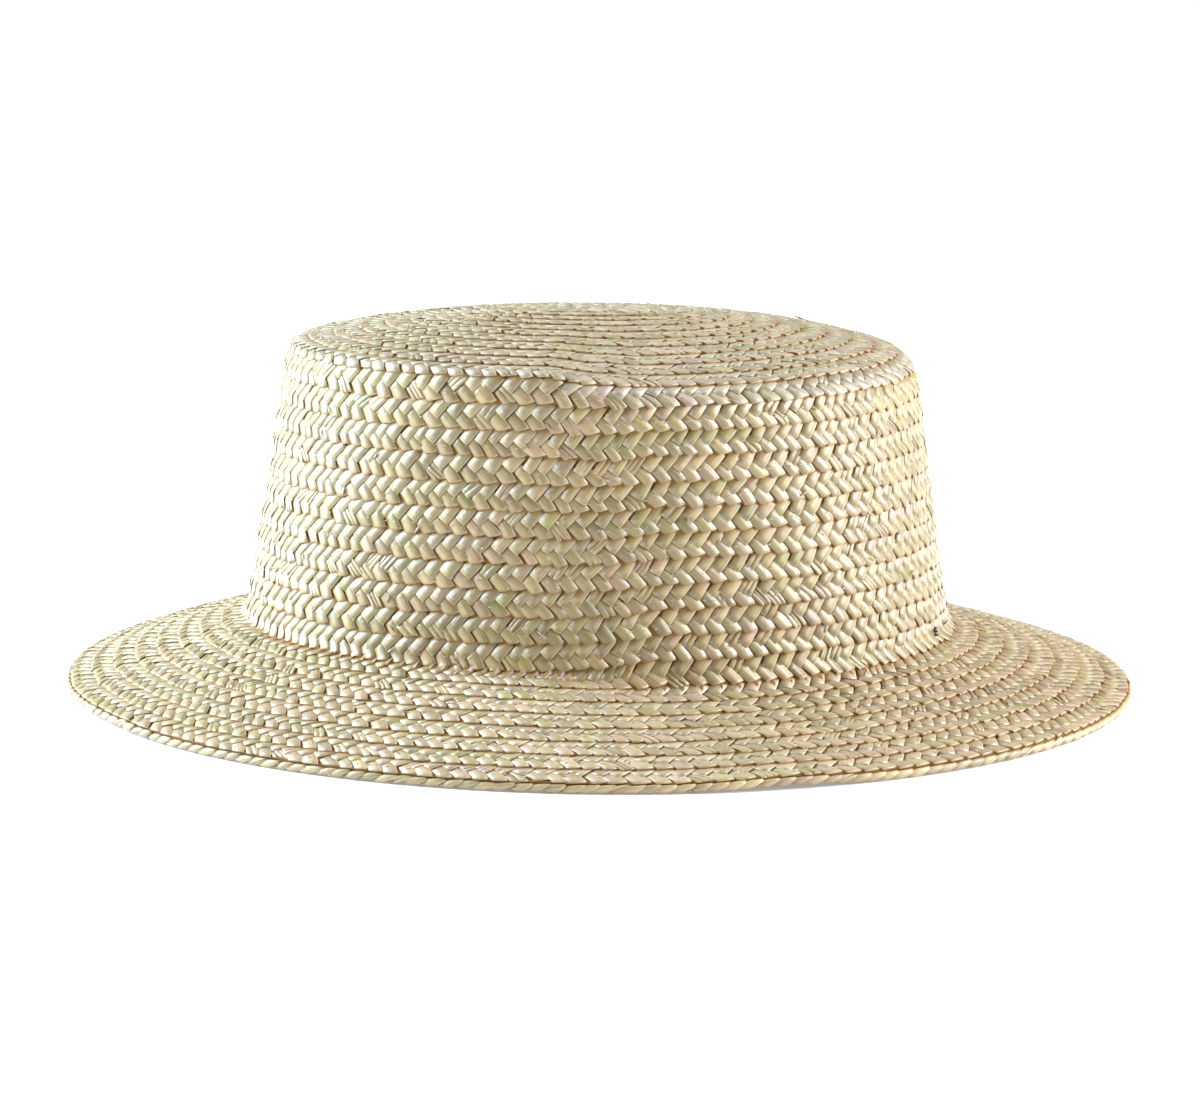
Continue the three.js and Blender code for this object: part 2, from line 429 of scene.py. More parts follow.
def joined_mesh(name, template, places, shades, runs, spans, inward):
    """One mesh of many copies of a template, with a colour, a painted shade, a fibre run in
    millimetres and a place on the straw's own face at each point."""
    count, size = places.shape[:2]
    loops = np.concatenate([face[::-1] if inward else face for face in template.faces])
    totals = np.array([len(face) for face in template.faces])
    every = (np.arange(count)[:, None] * size + loops[None]).ravel()
    all_totals = np.tile(totals, count)
    starts = np.concatenate([[0], np.cumsum(all_totals)[:-1]])
    mesh = bpy.data.meshes.new(name)
    mesh.vertices.add(count * size)
    mesh.vertices.foreach_set("co", (places * MM).astype(np.float32).ravel())
    run_map_places = runs.reshape(-1, 2)[every]
    face_map_places = np.tile(spans, (count, 1))[every]
    mesh.loops.add(len(every))
    mesh.loops.foreach_set("vertex_index", every.astype(np.int32))
    mesh.polygons.add(len(all_totals))
    mesh.polygons.foreach_set("loop_start", starts.astype(np.int32))
    mesh.polygons.foreach_set("loop_total", all_totals.astype(np.int32))
    run_map = mesh.uv_layers.new(name="straw_run")
    run_map.data.foreach_set("uv", run_map_places.astype(np.float32).ravel())
    face_map = mesh.uv_layers.new(name="straw_face")
    face_map.data.foreach_set("uv", face_map_places.astype(np.float32).ravel())
    shade_map = mesh.attributes.new("straw_shade", "FLOAT_COLOR", "POINT")
    shade_map.data.foreach_set("color", shades.astype(np.float32).ravel())
    mesh.update(calc_edges=True)
    mesh.validate()
    mesh.polygons.foreach_set("use_smooth", np.tile(template.smooth_faces, count))
    piece = bpy.data.objects.new(name, mesh)
    bpy.context.scene.collection.objects.link(piece)
    return piece


# The two bands of a plait row, and the rim's, the stitches' and the loose ends': where each
# stands across the row, and its straws' sizes there. top_side and top_end say which side and
# end of a straw lie on top of their neighbours. Widths hold at a row's full pitch.
CROWN_PITCH = 7.2
FULL_PITCH = 6.2
FLOAT_BAND = SimpleNamespace(
    across=0.174, beside=0.7, lean=50.0, half_length=3.0, half_width=1.76, lift=0.2, roll=0.04,
    left_dip=0.04, right_dip=0.12, roll_off=0.0, arch=0.015, bulge=0.0, end_round=0.03,
    end_narrow=0.04, end_cut=0.0, thick=0.28, edge_thick=0.0, top_side=1, top_end=-1,
    row_shade=0.5, row_bulge=0.1,
)
FOLD_BAND = SimpleNamespace(
    across=0.7, beside=-1.9, lean=-48.0, half_length=2.9, half_width=1.73, lift=0.1, roll=-0.05,
    left_dip=0.22, right_dip=0.0, roll_off=0.2, arch=0.015, bulge=0.3, end_round=0.05,
    end_narrow=0.08, end_cut=0.75, thick=0.28, edge_thick=0.12, top_side=-1, top_end=1,
    row_shade=0.5, row_bulge=0.1,
)
RIM_BAND = SimpleNamespace(
    across=0.56, beside=0.0, lean=36.0, half_length=3.9, half_width=1.75, lift=0.2, roll=0.18,
    left_dip=0.3, right_dip=0.35, roll_off=0.0, arch=0.2, bulge=0.0, end_round=0.2,
    end_narrow=0.2, end_cut=0.0, thick=0.5, edge_thick=0.0, top_side=1, top_end=-1,
    row_shade=0.6, row_bulge=0.0,
)
STITCH_BAND = SimpleNamespace(
    across=0.66, beside=0.0, lean=8.0, half_length=0.55, half_width=0.11, lift=0.38, roll=0.0,
    left_dip=0.3, right_dip=0.3, roll_off=0.0, arch=0.0, bulge=0.0, end_round=0.0,
    end_narrow=0.3, end_cut=0.0, thick=0.2, edge_thick=0.0, top_side=1, top_end=1,
    row_shade=0.0, row_bulge=0.12,
)
LOOSE_BAND = SimpleNamespace(
    across=0.6, beside=0.0, lean=30.0, half_length=1.5, half_width=0.26, lift=0.42, roll=0.0,
    left_dip=0.5, right_dip=-0.3, roll_off=0.0, arch=0.0, bulge=0.0, end_round=0.0,
    end_narrow=0.5, end_cut=0.0, thick=0.12, edge_thick=0.0, top_side=1, top_end=1,
    row_shade=0.0, row_bulge=0.2,
)


def changed(band, **changes):
    """A band like another, but for the sizes named."""
    return SimpleNamespace(**{**vars(band), **changes})


# On the crown's side the straws lie flatter on one another, and each row swells a little
SIDE_FLOAT_BAND = changed(FLOAT_BAND, left_dip=0.03, right_dip=0.07, row_bulge=0.15)
SIDE_FOLD_BAND = changed(FOLD_BAND, end_cut=0.6, left_dip=0.17, roll_off=0.17, end_round=0.07,
                         end_narrow=0.07, row_shade=0.4, row_bulge=0.15)


def make_straws(travel, width_share, band, count_split):
    """Sizes and shades of a band's straws; a split straw becomes two or three narrow ones."""
    count = len(travel)
    straws = SimpleNamespace(
        travel=travel,
        across=np.full(count, band.across) + rng.normal(0, 0.02, count),
        lean=np.radians(band.lean + 1.5 * slow_wander(count, 6) + rng.normal(0, 4.0, count)),
        half_length=band.half_length * (1 + rng.normal(0, 0.04, count)),
        half_width=band.half_width * width_share,
        lift=band.lift + rng.normal(0, 0.045, count),
        roll=band.roll + rng.normal(0.0, 0.04, count),
        aside=np.zeros(count),
        tint=np.clip(0.5 + 0.22 * slow_wander(count, 4) + rng.normal(0, 0.2, count), 0, 1),
        light=np.clip(0.5 + 0.1 * slow_wander(count, 7) + rng.normal(0, 0.24, count), 0, 1),
        seed=rng.uniform(0, 1, count),
    )
    parts = np.ones(count, int)
    split = rng.uniform(0, 1, count) < count_split
    parts[split] = rng.integers(2, 4, split.sum())
    owner = np.repeat(np.arange(count), parts)
    first = np.concatenate([[0], np.cumsum(parts)[:-1]])
    rank = np.arange(len(owner)) - first[owner]
    taken = parts[owner]
    for name in vars(straws):
        setattr(straws, name, getattr(straws, name)[owner])
    whole = taken == 1
    straws.aside = np.where(whole, 0.0, (2 * rank + 1 - taken) / taken)
    jitter = rng.normal(0, 1, (4, len(owner)))
    straws.half_width = straws.half_width / taken * np.where(whole, 1.0, 0.97)
    straws.lean = straws.lean + np.where(whole, 0.0, np.radians(2.5) * jitter[0])
    straws.lift = straws.lift + np.where(whole, 0.0, 0.06 * jitter[1])
    straws.roll = np.where(whole, straws.roll, 0.05 * jitter[2])
    straws.light = np.clip(straws.light + np.where(whole, 0.0, 0.12 * jitter[3]), 0, 1)
    straws.taken = taken
    return straws


def picked(straws, chosen):
    """Only the chosen straws, with all their sizes and shades."""
    return SimpleNamespace(**{name: values[chosen] for name, values in vars(straws).items()})


# How much painted shade darkens straws in the crease at the crown's foot and at each row's lower
# edge
CREASE_SHADE = 0.45
ROW_END_SHADE = 0.3
# The bed under the straws: how far its faces lie below the plait's, and its step in degrees
BED_TOP = 0.42
BED_FOOT = 1.2
BED_STEP = 4.0


def lay_straws(name, template, straws, band, inward=False):
    """Bends each straw onto its row of the hat's face and joins them into one piece."""
    along, over, outer = (template.points[:, axis][None] for axis in range(3))
    # Each straw by itself, in millimetres: run goes along it and side goes over it
    rounded = along - np.sign(along) * band.end_round * np.abs(along) ** 3 * over ** 2
    narrowed = over * (1 - band.end_narrow * along ** 4)
    aside = column(straws.aside * straws.half_width * straws.taken)
    run = rounded * column(straws.half_length)
    side = narrowed * column(straws.half_width) + aside
    lean = column(straws.lean)
    run = run + band.end_cut * side * np.cos(lean) / np.sin(lean) * np.clip(along, 0, 1)
    right = run * np.cos(lean) + side * np.sin(lean) + band.beside
    right = right + band.bulge * (1 - along ** 2)
    # Leaned on its row, and squeezed where the rows lie closer than their full pitch
    rate, pitch, shear = local_frames(straws.travel, straws.across)
    scale = np.minimum(1.0, pitch / FULL_PITCH)
    centre = 1 - (1 - straws.across) * CROWN_PITCH * scale / pitch
    step = (-run * np.sin(lean) + side * np.cos(lean)) * column(scale / pitch)
    travel = column(straws.travel) - right / column(rate) - step * column(shear)
    across = column(centre) + step

    # Its ends dip under its neighbours, and its back lies its own thickness lower
    left_share = np.clip((1 - along) / 2, 0.0, 1.0)
    height = column(straws.lift) + band.arch * (1 - over ** 2) + column(straws.roll) * over
    height = height - band.left_dip * left_share ** 3 - band.right_dip * (1 - left_share) ** 3
    height = height - band.roll_off * np.clip((along - 0.3) / 0.7, 0, 1) ** 2
    height = height + band.row_bulge * np.sin(math.pi * np.clip(across, 0.0, 1.0))
    plait_edge = smooth((across - 0.8) / 0.16)
    height = height - (1 - outer) * (band.thick + band.edge_thick * plait_edge)
    if inward:
        height = -(WALL - ROW_TILT) - height
    places = plait_place(travel, across, plait_face(across) + height)

    # Painted shade: straws are less open to the light under the row above, low on their own
    # walls, in the crown's crease and at the row's lower edge
    under_row = smooth((0.13 - across) / 0.18)
    wall_foot = np.where(along * band.top_end > 0.95, 0.75, 0.2)
    bearing = FRONT_CENTRE - travel
    past_crease = plait_row(travel, across) - hat.knots_at(bearing)[..., 2]
    in_crease = (1 - fold_turn(bearing)) * smooth(1 - np.abs(past_crease - 0.12) / 0.4)
    shade = np.empty(places.shape[:2] + (4,))
    shade[..., 0] = column(straws.tint)
    shade[..., 1] = column(straws.light)
    shade[..., 2] = column(straws.taken > 1)
    painted_openness = (wall_foot + (1 - wall_foot) * outer) * (1 - band.row_shade * under_row)
    painted_openness = np.clip(painted_openness, 0, 1) * (1 - CREASE_SHADE * in_crease)
    if band.top_end > 0:
        painted_openness = painted_openness * (1 - ROW_END_SHADE * smooth((across - 0.84) / 0.2))
    shade[..., 3] = painted_openness
    runs = np.stack([run + column(straws.seed) * 400, side + column(straws.seed) * 90], -1)
    spans = np.stack([along[0] * band.top_end, over[0] * band.top_side], -1)
    return joined_mesh(name, template, places, shade, runs, spans, inward)


def bed_strip(name, chosen_zone):
    """The plait's own thickness under its straws: one strip wound from row to row."""
    travel = np.arange(0.0, FULL_TURN * (ALL_ROWS + 1), BED_STEP)
    shares = np.linspace(-0.06, 0.965, 6)
    section = np.array(
        [(share, plait_face(share) - BED_TOP) for share in shares]
        + [(share, plait_face(share) - BED_FOOT) for share in shares[::-1]]
    )
    zone = zone_of(travel, np.full_like(travel, 0.5))
    keep = zone == chosen_zone
    across = np.broadcast_to(section[:, 0], (len(travel), len(section)))
    height = np.broadcast_to(section[:, 1], across.shape)
    places = plait_place(np.broadcast_to(travel[:, None], across.shape), across, height)
    mesh = bmesh.new()
    rings = {}
    for k in np.flatnonzero(keep):
        rings[k] = [mesh.verts.new(Vector(place) * MM) for place in places[k]]
    corners = len(section)
    for k in rings:
        ends = [k - 1 not in rings, k + 1 not in rings]
        if ends[0]:
            mesh.faces.new(rings[k])
        if ends[1]:
            mesh.faces.new(rings[k][::-1])
            continue
        for c in range(corners):
            d = (c + 1) % corners
            mesh.faces.new([rings[k][c], rings[k + 1][c], rings[k + 1][d], rings[k][d]])
    bmesh.ops.recalc_face_normals(mesh, faces=mesh.faces)
    data = bpy.data.meshes.new(name)
    mesh.to_mesh(data)
    mesh.free()
    piece = bpy.data.objects.new(name, data)
    bpy.context.scene.collection.objects.link(piece)
    return piece


# Materials
def new_group(group_name, sockets):
    group = bpy.data.node_groups.new(group_name, "ShaderNodeTree")
    for name, way, kind, *value in sockets:
        made = group.interface.new_socket(name=name, in_out=way, socket_type="NodeSocket" + kind)
        if value:
            made.default_value = value[0]
    return group, group.nodes.new("NodeGroupInput"), group.nodes.new("NodeGroupOutput")


def math_node(tree, operation, first, second, clamp=False):
    node = tree.nodes.new("ShaderNodeMath")
    node.operation = operation
    node.use_clamp = clamp
    for k, value in enumerate((first, second)):
        if isinstance(value, (int, float)):
            node.inputs[k].default_value = value
        elif value is not None:
            tree.links.new(value, node.inputs[k])
    return node.outputs[0]


def mix_colours(tree, share, first, second, kind="MIX"):
    node = tree.nodes.new("ShaderNodeMix")
    node.data_type = "RGBA"
    node.blend_type = kind
    sockets = ((0, share), (6, first), (7, second))
    for index, value in sockets:
        if isinstance(value, bpy.types.NodeSocket):
            tree.links.new(value, node.inputs[index])
        else:
            node.inputs[index].default_value = value
    return node.outputs[2]


def map_range(tree, value, start, end, kind="SMOOTHSTEP"):
    """0 where the value is at the start and 1 where it is at the end."""
    node = tree.nodes.new("ShaderNodeMapRange")
    node.interpolation_type = kind
    node.inputs["From Min"].default_value = start
    node.inputs["From Max"].default_value = end
    tree.links.new(value, node.inputs["Value"])
    return node.outputs[0]


def fibre_group():
    """Fine lengthwise fibres of a split straw, from its run map in millimetres."""
    group, start, end = new_group("straw_fibres", [
        ("Run", "INPUT", "Vector"),
        ("Fineness", "INPUT", "Float", 5.0),
        ("Streaks", "OUTPUT", "Float"),
        ("Relief", "OUTPUT", "Float"),
    ])
    parted = group.nodes.new("ShaderNodeSeparateXYZ")
    group.links.new(start.outputs["Run"], parted.inputs[0])
    levels = []
    for share, stretch, detail in ((1.0, 0.16, 2.0), (2.7, 0.5, 3.0)):
        place = group.nodes.new("ShaderNodeCombineXYZ")
        fine = math_node(group, "MULTIPLY", start.outputs["Fineness"], share)
        group.links.new(math_node(group, "MULTIPLY", parted.outputs[0], stretch), place.inputs[0])
        group.links.new(math_node(group, "MULTIPLY", parted.outputs[1], fine), place.inputs[1])
        noise = group.nodes.new("ShaderNodeTexNoise")
        noise.inputs["Scale"].default_value = 1.0
        noise.inputs["Detail"].default_value = detail
        group.links.new(place.outputs[0], noise.inputs["Vector"])
        levels.append(noise.outputs[0])
    streaks = math_node(group, "ADD", math_node(group, "MULTIPLY", levels[0], 0.6),
                        math_node(group, "MULTIPLY", levels[1], 0.4))
    group.links.new(map_range(group, streaks, 0.32, 0.68, "LINEAR"), end.inputs["Streaks"])
    group.links.new(streaks, end.inputs["Relief"])
    return group


def splint_group():
    """A straw's own face: some straws are split into two or three splints, with painted shade
    between them; one side and end are tucked under the next straw and get painted shade, the
    others get a painted highlight as if they catch the light."""
    group, start, end = new_group("straw_splints", [
        ("Face", "INPUT", "Vector"),
        ("Tint", "INPUT", "Float", 0.5),
        ("Lightness", "INPUT", "Float", 0.5),
        ("Already Split", "INPUT", "Float", 0.0),
        ("Side Shade", "INPUT", "Float", 0.95),
        ("Crevice", "OUTPUT", "Float"),
        ("Edge", "OUTPUT", "Float"),
        ("Relief", "OUTPUT", "Float"),
    ])
    parted = group.nodes.new("ShaderNodeSeparateXYZ")
    group.links.new(start.outputs["Face"], parted.inputs[0])
    lengthwise = parted.outputs[0]
    sidewise = parted.outputs[1]
    mixed = math_node(group, "ADD", math_node(group, "MULTIPLY", start.outputs["Tint"], 37.3),
                      math_node(group, "MULTIPLY", start.outputs["Lightness"], 91.7))
    drawn = math_node(group, "FRACT", mixed, None)
    draw = math_node(group, "SUBTRACT", drawn, start.outputs["Already Split"])
    split_once = math_node(group, "GREATER_THAN", draw, 0.72)
    split_twice = math_node(group, "GREATER_THAN", draw, 0.93)
    pieces = math_node(group, "ADD", math_node(group, "ADD", split_once, split_twice), 1.0)
    half = math_node(group, "MULTIPLY", math_node(group, "ADD", sidewise, 1.0), 0.4999)
    inside = math_node(group, "FRACT", math_node(group, "MULTIPLY", half, pieces), None)
    from_middle = math_node(group, "ABSOLUTE", math_node(group, "SUBTRACT", inside, 0.5), None)
    split_gap_shade = math_node(group, "MULTIPLY", map_range(group, from_middle, 0.43, 0.5), split_once)
    within = map_range(group, math_node(group, "ABSOLUTE", sidewise, None), 0.97, 0.85)
    split_gap_shade = math_node(group, "MULTIPLY", math_node(group, "MULTIPLY", split_gap_shade, within), 0.7)
    # Painted shade: a dark line down the side that lies under the next straw, a darker end where it
    # goes under, and dark lines between splints
    under_next = map_range(group, sidewise, -0.82, -0.96)
    tucked_side_shade = math_node(group, "MULTIPLY", under_next, start.outputs["Side Shade"])
    tucked_end_shade = math_node(group, "MULTIPLY", map_range(group, lengthwise, -0.72, -1.0), 0.45)
    painted_shade = math_node(group, "MAXIMUM", math_node(group, "MAXIMUM", split_gap_shade, tucked_side_shade), tucked_end_shade)
    group.links.new(painted_shade, end.inputs["Crevice"])
    # Painted highlight: the side and the end that lie on top are paled, as if catching the light
    lit_side_highlight = map_range(group, sidewise, 0.8, 0.95)
    lit_end_highlight = map_range(group, lengthwise, 0.88, 0.98)
    edge = math_node(group, "MAXIMUM", lit_side_highlight, lit_end_highlight)
    group.links.new(edge, end.inputs["Edge"])
    hollow = math_node(group, "POWER", math_node(group, "MULTIPLY", from_middle, 2.0), 9.0)
    worn_end = math_node(group, "POWER", math_node(group, "ABSOLUTE", lengthwise, None), 9.0)
    lowered = math_node(group, "MULTIPLY", math_node(group, "ADD", hollow, worn_end), 0.5)
    group.links.new(math_node(group, "SUBTRACT", 1.0, lowered), end.inputs["Relief"])
    return group


def srgb(red, green, blue):
    """A colour given as on a screen, from 0 to 255, in the linear values that a shader takes."""
    channels = []
    for level in (red, green, blue):
        share = level / 255
        channels.append(share / 12.92 if level < 11 else ((share + 0.055) / 1.055) ** 2.4)
    return (*channels, 1.0)


def colour_group():
    """Natural straw's colour: cream, green and pink straws, with painted shade in brown where it
    dips and painted highlights on its open edges.
    """
    group, start, end = new_group("straw_colour", [
        ("Tint", "INPUT", "Float", 0.5),
        ("Lightness", "INPUT", "Float", 0.5),
        ("Openness", "INPUT", "Float", 1.0),
        ("Streaks", "INPUT", "Float", 0.5),
        ("Edge", "INPUT", "Float", 0.0),
        ("Gap", "INPUT", "Float", 0.0),
        ("Cream", "INPUT", "Color", srgb(226, 212, 172)),
        ("Green", "INPUT", "Color", srgb(206, 201, 146)),
        ("Pink", "INPUT", "Color", srgb(226, 203, 170)),
        ("Crevice", "INPUT", "Color", srgb(162, 116, 46)),
        ("Deep Crevice", "INPUT", "Color", srgb(134, 92, 40)),
        ("Cut Edge", "INPUT", "Color", srgb(226, 212, 172)),
        ("Colour", "OUTPUT", "Color"),
    ])
    greenness = map_range(group, start.outputs["Tint"], 0.3, 0.0, "LINEAR")
    pinkness = map_range(group, start.outputs["Tint"], 0.55, 1.0, "LINEAR")
    base = mix_colours(group, greenness, start.outputs["Cream"], start.outputs["Green"])
    base = mix_colours(group, pinkness, base, start.outputs["Pink"])
    fade = math_node(group, "ADD", math_node(group, "MULTIPLY", start.outputs["Lightness"], 0.45),
                     math_node(group, "MULTIPLY", start.outputs["Streaks"], 0.5))
    fade = math_node(group, "ADD", fade, 0.5)
    grey = group.nodes.new("ShaderNodeCombineColor")
    for k in range(3):
        group.links.new(fade, grey.inputs[k])
    base = mix_colours(group, 1.0, base, grey.outputs[0], "MULTIPLY")
    # Painted highlight: paler towards the straw's open side and end
    painted_highlight_share = math_node(group, "MULTIPLY", start.outputs["Edge"], 0.5)
    base = mix_colours(group, painted_highlight_share, base, start.outputs["Cut Edge"])
    # Painted shade: browner where the straw is less open to the light and along its painted dark
    # lines, deep brown where the shade is strongest
    painted_shade = math_node(group, "SUBTRACT", 1.0, start.outputs["Openness"], True)
    painted_shade = math_node(group, "MAXIMUM", painted_shade, start.outputs["Gap"])
    painted_shade_share = math_node(group, "MULTIPLY", painted_shade, 1.5, True)
    base = mix_colours(group, painted_shade_share, base, start.outputs["Crevice"])
    deep = math_node(group, "SUBTRACT", math_node(group, "MULTIPLY", painted_shade, 2.0), 1.0, True)
    base = mix_colours(group, deep, base, start.outputs["Deep Crevice"])
    group.links.new(base, end.inputs["Colour"])
    return group


FIBRES = fibre_group()
SPLINTS = splint_group()
COLOURS = colour_group()


FIBRES_PER_MM = 3.4
FIBRE_RELIEF = 1.8
STRAW_RELIEF = 0.00008
POLISH_SPREAD = 0.14


def straw_material(name, cream, green, pink, roughness, side_shade):
    material = bpy.data.materials.new(name)
    material.use_nodes = True
    tree = material.node_tree
    shader = tree.nodes["Principled BSDF"]
    run = tree.nodes.new("ShaderNodeUVMap")
    run.uv_map = "straw_run"
    shade = tree.nodes.new("ShaderNodeAttribute")
    shade.attribute_name = "straw_shade"
    parts = tree.nodes.new("ShaderNodeSeparateColor")
    tree.links.new(shade.outputs["Color"], parts.inputs[0])
    fibres = tree.nodes.new("ShaderNodeGroup")
    fibres.node_tree = FIBRES
    fibres.inputs["Fineness"].default_value = FIBRES_PER_MM
    tree.links.new(run.outputs["UV"], fibres.inputs["Run"])
    colour = tree.nodes.new("ShaderNodeGroup")
    colour.node_tree = COLOURS
    tree.links.new(parts.outputs[0], colour.inputs["Tint"])
    tree.links.new(parts.outputs[1], colour.inputs["Lightness"])
    face = tree.nodes.new("ShaderNodeUVMap")
    face.uv_map = "straw_face"
    splints = tree.nodes.new("ShaderNodeGroup")
    splints.node_tree = SPLINTS
    splints.inputs["Side Shade"].default_value = side_shade
    tree.links.new(face.outputs["UV"], splints.inputs["Face"])
    tree.links.new(parts.outputs[0], splints.inputs["Tint"])
    tree.links.new(parts.outputs[1], splints.inputs["Lightness"])
    tree.links.new(parts.outputs[2], splints.inputs["Already Split"])
    tree.links.new(splints.outputs["Edge"], colour.inputs["Edge"])
    tree.links.new(splints.outputs["Crevice"], colour.inputs["Gap"])
    tree.links.new(shade.outputs["Alpha"], colour.inputs["Openness"])
    tree.links.new(fibres.outputs["Streaks"], colour.inputs["Streaks"])
    colour.inputs["Cream"].default_value = cream
    colour.inputs["Green"].default_value = green
    colour.inputs["Pink"].default_value = pink
    tree.links.new(colour.outputs["Colour"], shader.inputs["Base Color"])
    polish = math_node(tree, "MULTIPLY", fibres.outputs["Streaks"], -POLISH_SPREAD)
    rough = math_node(tree, "ADD", polish, roughness + POLISH_SPREAD / 2)
    tree.links.new(rough, shader.inputs["Roughness"])
    bump = tree.nodes.new("ShaderNodeBump")
    bump.inputs["Strength"].default_value = 1.0
    bump.inputs["Distance"].default_value = STRAW_RELIEF
    grain = math_node(tree, "MULTIPLY", fibres.outputs["Relief"], FIBRE_RELIEF)
    tree.links.new(math_node(tree, "ADD", splints.outputs["Relief"], grain), bump.inputs["Height"])
    tree.links.new(bump.outputs[0], shader.inputs["Normal"])
    shader.inputs["Specular IOR Level"].default_value = 0.7
    shader.inputs["Coat Weight"].default_value = 0.2
    shader.inputs["Coat Roughness"].default_value = 0.3
    return material


def bed_material(name, colour, dark):
    material = bpy.data.materials.new(name)
    material.use_nodes = True
    tree = material.node_tree
    shader = tree.nodes["Principled BSDF"]
    place = tree.nodes.new("ShaderNodeTexCoord")
    noise = tree.nodes.new("ShaderNodeTexNoise")
    noise.inputs["Scale"].default_value = 420.0
    noise.inputs["Detail"].default_value = 3.0
    tree.links.new(place.outputs["Object"], noise.inputs["Vector"])
    mixed = mix_colours(tree, noise.outputs[0], colour, dark)
    tree.links.new(mixed, shader.inputs["Base Color"])
    shader.inputs["Roughness"].default_value = 0.75
    return material


# The same straw in every zone: each zone's colours are set to how bright that zone looks under the
# lamps, so they carry painted light and shade
TIP_STRAW = straw_material(
    "tip_straw_finish",
    cream=srgb(173, 154, 124),
    green=srgb(165, 151, 110),
    pink=srgb(178, 153, 131),
    roughness=0.4,
    side_shade=0.6,
)
SIDE_STRAW = straw_material(
    "side_straw_finish",
    cream=srgb(171, 145, 97),
    green=srgb(163, 143, 86),
    pink=srgb(178, 146, 109),
    roughness=0.33,
    side_shade=0.9,
)
BRIM_STRAW = straw_material(
    "brim_straw_finish",
    cream=srgb(179, 154, 115),
    green=srgb(171, 152, 102),
    pink=srgb(184, 153, 121),
    roughness=0.4,
    side_shade=0.45,
)
EDGE_STRAW = straw_material(
    "edge_straw_finish",
    cream=srgb(187, 160, 112),
    green=srgb(177, 157, 103),
    pink=srgb(189, 151, 111),
    roughness=0.42,
    side_shade=0.8,
)
# Painted shade: the bed is a darker golden brown than the straw, so the gaps between straws look
# shaded
BED_STRAW_PAINTED_SHADE = bed_material("plait_bed_finish", srgb(178, 130, 62), srgb(120, 78, 30))


def thread_finish(name, colour, roughness, shine):
    material = bpy.data.materials.new(name)
    material.use_nodes = True
    shader = material.node_tree.nodes["Principled BSDF"]
    shader.inputs["Base Color"].default_value = colour
    shader.inputs["Roughness"].default_value = roughness
    shader.inputs["Specular IOR Level"].default_value = shine
    return material


THREAD = thread_finish("sewing_thread_finish", srgb(200, 184, 146), 0.5, 0.5)
TACK_THREAD = thread_finish("tack_thread_finish", srgb(26, 22, 18), 0.9, 0.15)

CELL_ACROSS = 0.6
CELL_SPACING = 4.65
STITCH_SPACING = 3.1
STITCHES_SHOWN = 0.5
LOOSE_SPACING = 60.0
SPLIT_STRAWS = 0.1
FIRST_ROW = 0.04


def zone_pick(straws, zone):
    """The straws that lie in one zone of the hat, from the plait's start on."""
    started = plait_row(straws.travel, straws.across) > FIRST_ROW
    return picked(straws, (zone_of(straws.travel, straws.across) == zone) & started)


def finish_piece(piece, material):
    """Gives a piece its finish and its body."""
    piece.data.materials.append(material)
    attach(piece, "root")
    return piece


def loose_straws():
    """Short ends of straw that stand a little off the plait."""
    stops, widths = walk_plait(CELL_ACROSS, LOOSE_SPACING, 0.2)
    straws = make_straws(stops, widths, LOOSE_BAND, 0.0)
    count = len(stops)
    straws.across = rng.uniform(0.3, 0.95, count)
    straws.lean = np.radians(rng.choice([-1, 1], count) * rng.uniform(15, 75, count))
    return straws


def stitch_straws():
    """The stitches that show on each row, with some pulled down out of sight."""
    stops, widths = walk_plait(STITCH_BAND.across, STITCH_SPACING, 0.12)
    straws = make_straws(stops, widths, STITCH_BAND, 0.0)
    straws.across = straws.across + 0.03 * slow_wander(len(stops), 12)
    return picked(straws, rng.uniform(0, 1, len(stops)) < STITCHES_SHOWN)


stops, widths = walk_plait(CELL_ACROSS, CELL_SPACING, 0.09)
floats = make_straws(stops, widths, FLOAT_BAND, SPLIT_STRAWS)
folds = make_straws(stops, widths, FOLD_BAND, SPLIT_STRAWS)
rim_straws = make_straws(stops, widths, RIM_BAND, SPLIT_STRAWS)
whole_floats = make_straws(stops, widths, FLOAT_BAND, 0.0)
whole_folds = make_straws(stops, widths, FOLD_BAND, 0.0)
loose = loose_straws()
stitches = stitch_straws()

ZONES = (
    SimpleNamespace(name="tip", zone=0, node="crown_tip", slot="tip_straw", material=TIP_STRAW),
    SimpleNamespace(name="side", zone=1, node="crown_side", slot="side_straw", material=SIDE_STRAW),
    SimpleNamespace(name="brim", zone=2, node="brim", slot="brim_straw", material=BRIM_STRAW),
    SimpleNamespace(name="edge", zone=3, node="brim_edge", slot="edge_straw", material=EDGE_STRAW),
)


def lay_row_bands(part, suffix, template, straws, band, inward=False):
    piece = lay_straws(part.name + suffix, template, zone_pick(straws, part.zone), band, inward)
    return finish_piece(piece, part.material)


